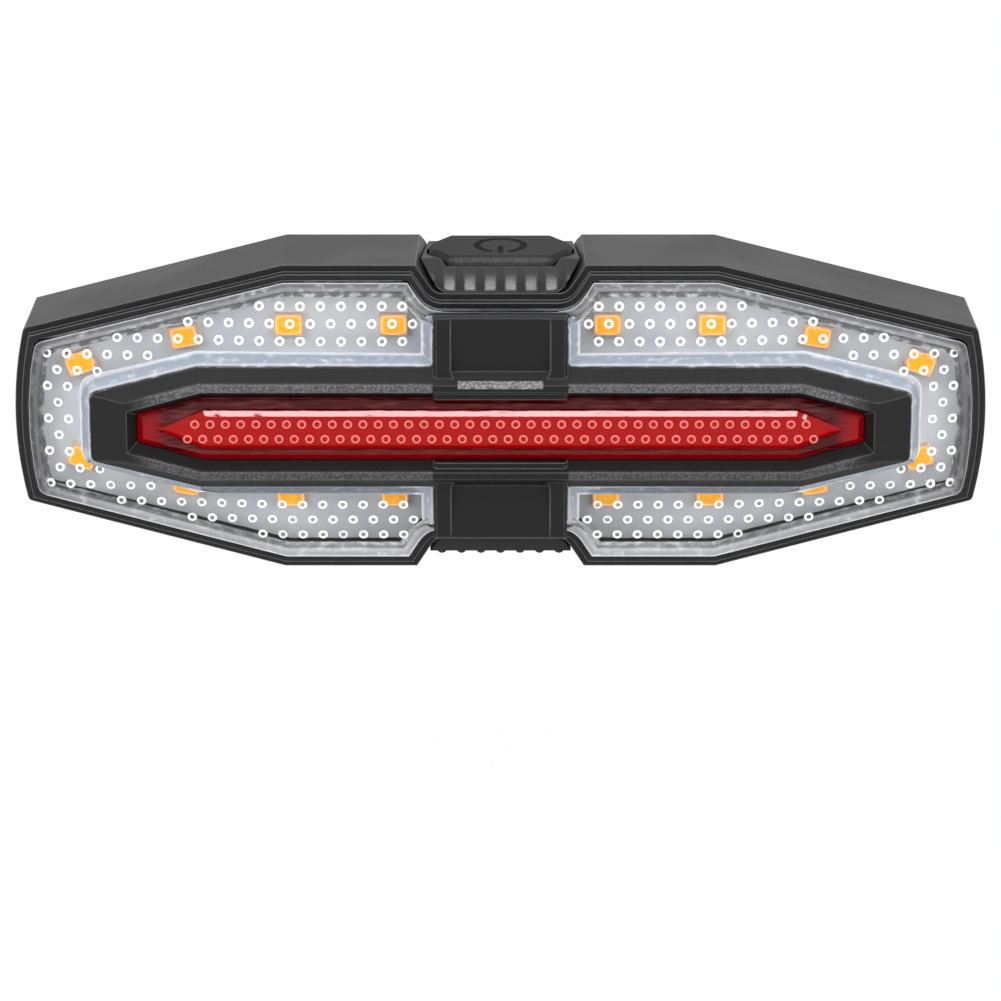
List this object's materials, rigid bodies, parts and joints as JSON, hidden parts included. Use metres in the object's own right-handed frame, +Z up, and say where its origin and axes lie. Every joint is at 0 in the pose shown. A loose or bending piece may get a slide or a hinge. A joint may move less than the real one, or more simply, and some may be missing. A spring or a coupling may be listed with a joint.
{
  "type": "bicycle turn signal light",
  "caption": "Faceted bicycle rear light with amber turn signals behind a clear lens, a long red centre light, a push button and a strap-on seat-post bracket.",
  "frame": {"origin": "on the axis of the seat-post clamp, half way up the saddle and the strap", "axes": "+X along the length of the light, +Y from the lenses back to the seat post, +Z up the seat post; the lenses face -Y"},
  "size_m": [0.12, 0.0631, 0.039],
  "materials": {
    "housing": "fine-grained black ABS",
    "frame": "fine-grained black ABS",
    "bezel": "satin black ABS",
    "bracket": "satin black nylon",
    "clear": "clear polycarbonate with moulded rings",
    "red": "red polycarbonate with moulded rings",
    "seal": "black silicone",
    "button": "soft black silicone",
    "cover": "soft black silicone",
    "strap": "black rubber",
    "pad": "black rubber",
    "white_board": "white solder mask on glass laminate",
    "green_board": "green solder mask on glass laminate",
    "amber_led": "amber phosphor in a white package",
    "red_led": "clear resin in a white package",
    "chip": "black moulding compound",
    "can": "tinned steel",
    "switch": "black nylon",
    "plunger": "ivory nylon",
    "socket": "plated stainless steel",
    "cell": "aluminium laminate pouch",
    "foam": "closed-cell foam tape",
    "wire_red": "red insulated wire",
    "wire_black": "black insulated wire",
    "screw": "black zinc on steel"
  },
  "bodies": {
    "bracket": {"bracket_base": "bracket", "bracket_pad": "pad", "strap": "strap"},
    "light": {"rear_housing": "housing", "clear_lens": "clear", "lens_seal": "seal", "centre_frame": "frame", "red_lens": "red", "led_board": "white_board", "amber_leds": "amber_led", "red_leds": "red_led", "control_board": "green_board", "control_chips": "chip", "board_header": "chip", "radio_module": "can", "power_switch": "switch", "button_bezel": "bezel", "port_cover_hinge": "cover", "usb_socket": "socket", "battery": "cell", "battery_foam": "foam", "battery_guard_board": "green_board", "battery_lead_red": "wire_red", "battery_lead_black": "wire_black", "housing_screws": "screw"},
    "power_button": {"power_button": "button", "switch_plunger": "plunger"},
    "port_cover": {"port_cover": "cover"}
  },
  "joints": [
    {"name": "light_slide", "type": "slide", "parent": "bracket", "child": "light", "axis": [0, 0, 1], "range_m": [0, 0.026]},
    {"name": "button_press", "type": "slide", "parent": "light", "child": "power_button", "axis": [0, 0, -1], "range_m": [0, 0.00045], "stiffness_N_per_m": 4000},
    {"name": "port_cover_swing", "type": "hinge", "parent": "light", "child": "port_cover", "pos_m": [0, -0.02908, -0.0126], "axis": [1, 0, 0], "range_deg": [0, 100]}
  ]
}
